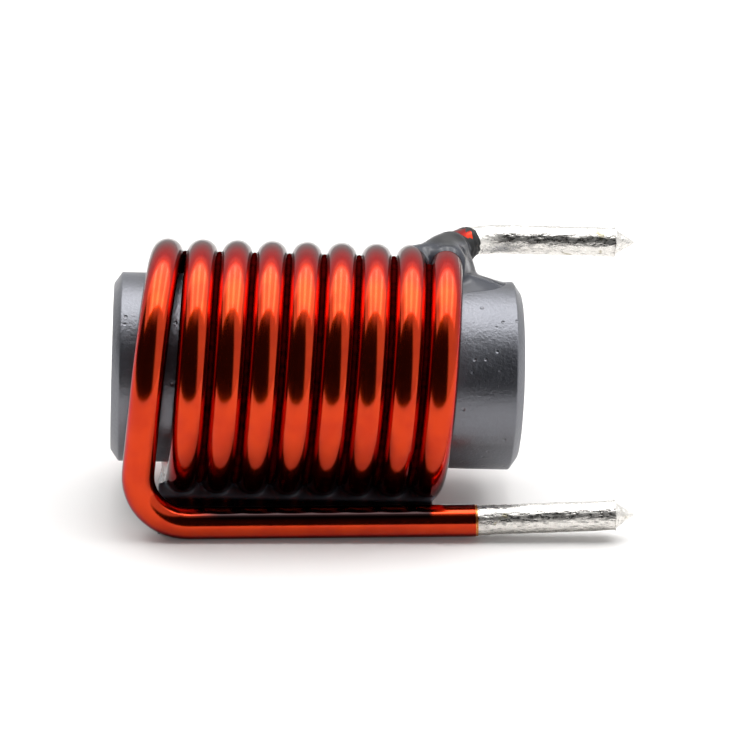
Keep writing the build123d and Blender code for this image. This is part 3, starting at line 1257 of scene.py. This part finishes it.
@dataclass
class UpperBead:
    """Epoxy over the start of the exit bend and behind the last turns, on a flare that stands on the rod.

    Angles of the sleeve, the smear and the collar count along the exit bend, from the side of the coil. The
    web and the inner web fill the corners between the sleeve and the last two turns, the neck carries the
    flare on the rod, and the run is a low ridge along the rod beside it.
    """

    route: WireRoute
    finish: BlackEpoxy = BlackEpoxy()
    top_z: float = 6.45
    step_deg: int = 4
    sleeve_wall: float = 0.16
    sleeve_from_y: float = 0.85
    sleeve_end_deg: int = 24
    smear_r: float = 0.74
    smear_off: Point = (-0.01, -0.2, -0.07)
    smear_deg: tuple[int, int] = (24, 50)
    smear_blend: float = 0.12
    collar_deg: tuple[int, int] = (47, 51)
    collar_r: float = 0.79
    rag: tuple[float, float] = (0.03, 0.02)
    web: tuple[Point, Point] = ((-4.75, 1.3, 5.5), (-4.1, 2.1, 5.5))
    web_r: float = 0.75
    inner_web: tuple[Point, Point] = ((-3.4, 1.3, 5.1), (-2.95, 1.9, 5.0))
    inner_web_r: float = 0.6
    web_blend: tuple[float, float] = (0.7, 0.5)
    flare_x: float = -4.2
    flare_deg: float = 70
    neck_r: float = 0.52
    neck_sink: float = 0.4
    neck_top: float = 5.4
    neck_blend: float = 0.6
    run_deg: float = 78
    run_x: tuple[float, float] = (-3.6, -2.1)
    run_r: float = 0.42
    run_sink: float = 0.1
    flare_blend: float = 1.4
    blend: float = 0.3
    wet: float = 0.4
    tuck: float = 0.03
    cell: float = 0.07
    box: tuple[Point, Point] = ((-6.6, -2.2, 2.2), (0.4, 5.6, 6.9))

    @staticmethod
    def around(deg: float) -> Vector:
        """Unit vector away from the rod's axis at an angle up from the back."""
        return Vector((0, math.cos(math.radians(deg)), math.sin(math.radians(deg))))

    def sleeve(self, x: np.ndarray, y: np.ndarray, z: np.ndarray) -> np.ndarray:
        """Measures to the sleeve around the start of the exit bend.

        Args:
            x: Coordinates along the rod, in millimetres.
            y: Coordinates in depth.
            z: Heights.

        Returns:
            Distance of each place from the sleeve.
        """
        route = self.route
        covered = [Vector((route.exit_in.x, self.sleeve_from_y, route.coil_r)), route.exit_in]
        angles = range(self.step_deg, self.sleeve_end_deg + 1, self.step_deg)
        covered += [route.on_exit_bend(a) for a in angles]
        return chain_distance(x, y, z, covered) - route.wire_r - self.sleeve_wall

    def smear(self, x: np.ndarray, y: np.ndarray, z: np.ndarray) -> np.ndarray:
        """Measures to the ragged smear under the bend, up to a collar at the edge of the enamel.

        Args:
            x: Coordinates along the rod, in millimetres.
            y: Coordinates in depth.
            z: Heights.

        Returns:
            Distance of each place from the smear.
        """
        start, end = self.smear_deg
        off = Vector(self.smear_off)
        along = [self.route.on_exit_bend(a) + off for a in range(start, end + 1, self.step_deg)]
        collared = [self.route.on_exit_bend(a) for a in self.collar_deg]
        # Crossed waves about 0.4 mm long and a finer one make the edge ragged
        crossed = np.sin(13 * x + 5 * z) * np.sin(15 * y - 7 * z)
        ragged = self.rag[0] * crossed + self.rag[1] * np.sin(23 * x - 9 * y + 17 * z)
        smeared = chain_distance(x, y, z, along) - self.smear_r
        collar = chain_distance(x, y, z, collared) - self.collar_r
        return np.minimum(smeared, collar) + ragged

    def distance(self, x: np.ndarray, y: np.ndarray, z: np.ndarray) -> np.ndarray:
        """Measures from places to the bead's skin.

        Args:
            x: Coordinates along the rod, in millimetres.
            y: Coordinates in depth.
            z: Heights.

        Returns:
            Distance of each place, negative inside the bead.
        """
        core_r = self.route.core_r
        web = chain_distance(x, y, z, [Vector(end) for end in self.web]) - self.web_r
        inner = chain_distance(x, y, z, [Vector(end) for end in self.inner_web]) - self.inner_web_r
        flare = Vector((self.flare_x, 0, 0))
        reaches = (core_r - self.neck_sink, self.neck_top)
        neck_line = [flare + self.around(self.flare_deg) * reach for reach in reaches]
        neck = chain_distance(x, y, z, neck_line) - self.neck_r
        sunk = self.around(self.run_deg) * (core_r - self.run_r - self.run_sink)
        run = chain_distance(x, y, z, [sunk + Vector((end, 0, 0)) for end in self.run_x]) - self.run_r
        webs = smooth_union(web, inner, self.web_blend[0])
        body = smooth_union(self.sleeve(x, y, z), webs, self.web_blend[1])
        body = smooth_union(body, self.smear(x, y, z), self.smear_blend)
        body = smooth_union(body, neck, self.neck_blend)
        body = smooth_union(body, run, self.neck_blend)
        rod = np.hypot(y, z) - core_r + self.tuck
        body = smooth_union(body, np.maximum(rod, body - self.flare_blend), self.flare_blend)
        coil = coil_distance(self.route, x, y, z) + self.tuck
        body = smooth_union(body, np.maximum(coil, body - self.wet), self.blend)
        return np.maximum(body, z - self.top_z)

    def build(self) -> Object:
        """Makes the bead's skin.

        Returns:
            The bead.
        """
        low, high = (Vector(corner) for corner in self.box)
        bead = skin("upper_epoxy_bead", low, high, self.cell, self.distance)
        relax(bead, 5)
        return dress(settle(bead, bead.name, 80), self.finish.material(), Slot.EPOXY, "upper_glue_bead")


# Studio


@dataclass(frozen=True)
class Lamp:
    """An area lamp that shines straight down.

    Place and size are in metres, and a radiance of 1 is about white paper in full light.
    """

    name: str
    place: Point
    size: tuple[float, float]
    radiance: float

    def hang(self) -> None:
        """Makes the lamp."""
        width, depth = self.size
        light = bpy.data.lights.new(self.name, "AREA")
        light.shape = "RECTANGLE"
        light.size, light.size_y = width, depth
        light.energy = self.radiance * math.pi * width * depth
        hung = bpy.data.objects.new(self.name, light)
        hung.location = self.place
        bpy.context.scene.collection.objects.link(hung)


@dataclass(frozen=True)
class Studio:
    """Camera, white floor, softbox with brighter tubes, and pale surroundings with a dark front.

    The camera's distance and aim are in millimetres. The floor and the lamps are in metres. The dark front
    reaches up to open_rise and from open_left to open_right, in degrees, with soft edges.
    """

    route: WireRoute
    picture: int = 746
    focal_px: float = 3925
    sensor: float = 36
    clip_start: float = 0.005
    elevation_deg: float = 22
    yaw_deg: float = 3.39
    roll_deg: float = 2.66
    distance: float = 191.8
    aim: Point = (-7.087, 0, -0.034)
    paper: tuple[float, float] = (-0.06, 1.5)
    paper_colour: tuple[float, float, float, float] = (0.78, 0.77, 0.76, 1)
    paper_glow: float = 0.06
    lamp_height: float = 1.2
    lamp_front: float = -0.26
    lamp_x: float = 0.05
    tube_turns: tuple[float, ...] = (-0.48, 0.02, 0.6)
    tube_size: tuple[float, float] = (0.24, 1.1)
    tube_drop: float = 0.03
    tube_radiance: float = 2.6
    pale: float = 0.85
    dark: float = 0.02
    open_rise: tuple[float, float] = (58, 78)
    open_left: tuple[float, float] = (-122, -110)
    open_right: tuple[float, float] = (30, 42)

    def camera(self) -> None:
        """Places the camera of the picture."""
        tilt, yaw, roll = (math.radians(a) for a in (self.elevation_deg, self.yaw_deg, self.roll_deg))
        look = Vector((math.sin(yaw) * math.cos(tilt), math.cos(yaw) * math.cos(tilt), -math.sin(tilt)))
        right = Vector((math.cos(yaw), -math.sin(yaw), 0))
        up = right.cross(look)
        image_right = right * math.cos(roll) + up * math.sin(roll)
        image_up = up * math.cos(roll) - right * math.sin(roll)
        lens = bpy.data.cameras.new("camera")
        lens.sensor_width = self.sensor
        lens.lens = self.sensor * self.focal_px / self.picture
        lens.clip_start = self.clip_start
        camera = bpy.data.objects.new("camera", lens)
        place = (Vector(self.aim) - look * self.distance) * MM
        camera.matrix_world = Matrix(
            [[image_right[i], image_up[i], -look[i], place[i]] for i in range(3)] + [[0, 0, 0, 1]]
        )
        bpy.context.scene.collection.objects.link(camera)
        bpy.context.scene.camera = camera

    def floor(self) -> None:
        """Makes the white surface that the part lies on."""
        left, right = self.route.rest_points()
        run = right - left
        front, back = self.paper
        deselect_all()
        bpy.ops.mesh.primitive_plane_add(size=2)
        plane = bpy.context.view_layer.objects.active
        plane.data.transform(Matrix.Diagonal((back, (back - front) / 2, 1, 1)))
        plane.data.transform(Matrix.Translation((0, (back + front) / 2, 0)))
        turn = Matrix.Rotation(-math.atan2(run.z, run.x), 4, "Y")
        plane.data.transform(Matrix.Translation(right * MM) @ turn)
        plane.name = "floor"
        paper = Surface("white_paper")
        seen = add_node(paper.tree, "LightPath").outputs["Is Camera Ray"]
        feed(
            paper.shader,
            Base_Color=self.paper_colour,
            Roughness=0.8,
            Emission_Color=(1, 1, 1, 1),
            Emission_Strength=paper.add("Math", TIMES, in0=seen, in1=self.paper_glow),
        )
        plane.data.materials.append(paper.material)

    def lamps(self) -> None:
        """Hangs a large softbox over the part, a little behind it, with a soft edge and bright tubes."""
        for name, drop, size, radiance in (
            ("softbox_edge", 0.0, (4.0, 1.7), 0.4),
            ("softbox", 0.01, (3.8, 1.3), 0.7),
            ("softbox_middle", 0.02, (2.0, 1.2), 1.4),
        ):
            place = (self.lamp_x, self.lamp_front + size[1] / 2, self.lamp_height - drop)
            Lamp(name, place, size, radiance).hang()
        middle = self.lamp_front + self.tube_size[1] / 2
        for number, turn in enumerate(self.tube_turns):
            place = (turn * self.lamp_height, middle, self.lamp_height - self.tube_drop)
            Lamp(f"tube_{number}", place, self.tube_size, self.tube_radiance).hang()

    def surroundings(self) -> None:
        """Sets a pale tent around the part, with a dark opening on the camera's side."""
        world = bpy.data.worlds.new("tent")
        bpy.context.scene.world = world
        world.use_nodes = True
        tree = world.node_tree
        tree.nodes.clear()
        way = add_node(tree, "TexCoord").outputs["Generated"]
        x, y, z = add_node(tree, "SeparateXYZ", Vector=way).outputs
        rise = add_node(tree, "Math", {"operation": "ARCSINE"}, in0=z).outputs[0]
        front = add_node(tree, "Math", TIMES, in0=y, in1=-1.0).outputs[0]
        turn = add_node(tree, "Math", {"operation": "ARCTAN2"}, in0=x, in1=front).outputs[0]
        share = 1.0
        for source, none_at, full_at in (
            (rise, *reversed(self.open_rise)),
            (turn, *self.open_left),
            (turn, *reversed(self.open_right)),
        ):
            limits = {"From_Min": math.radians(none_at), "From_Max": math.radians(full_at)}
            edge = add_node(tree, "MapRange", SOFT, Value=source, **limits).outputs[0]
            share = add_node(tree, "Math", TIMES, in0=share, in1=edge).outputs[0]
        light = add_node(tree, "MapRange", Value=share, To_Min=self.pale, To_Max=self.dark).outputs[0]
        # The camera itself sees white
        seen = add_node(tree, "LightPath").outputs["Is Camera Ray"]
        strength = add_node(tree, "Math", {"operation": "MAXIMUM"}, in0=seen, in1=light).outputs[0]
        glow = add_node(tree, "Background", Color=(1, 1, 1, 1), Strength=strength).outputs[0]
        add_node(tree, "OutputWorld", Surface=glow)

    def build(self) -> None:
        """Sets up the whole studio."""
        self.camera()
        self.floor()
        self.lamps()
        self.surroundings()
        bpy.context.scene.view_settings.view_transform = "Standard"


def main() -> None:
    """Builds the studio and the pieces in order."""
    logging.basicConfig(level=logging.INFO, format="%(name)s %(message)s")
    route = WireRoute()
    Studio(route).build()
    FerriteRod(route).build()
    Winding(route).build()
    tin = DippedTin().material()
    TinnedEnd("lower_tinned_end", "lower_tin_coat", route.lower_end(), point_len=1.0).build(tin)
    TinnedEnd("upper_tinned_end", "upper_tin_coat", route.upper_end(), point_len=1.04).build(tin)
    LowerBead(route).build()
    UpperBead(route).build()


if __name__ == "__main__":
    main()
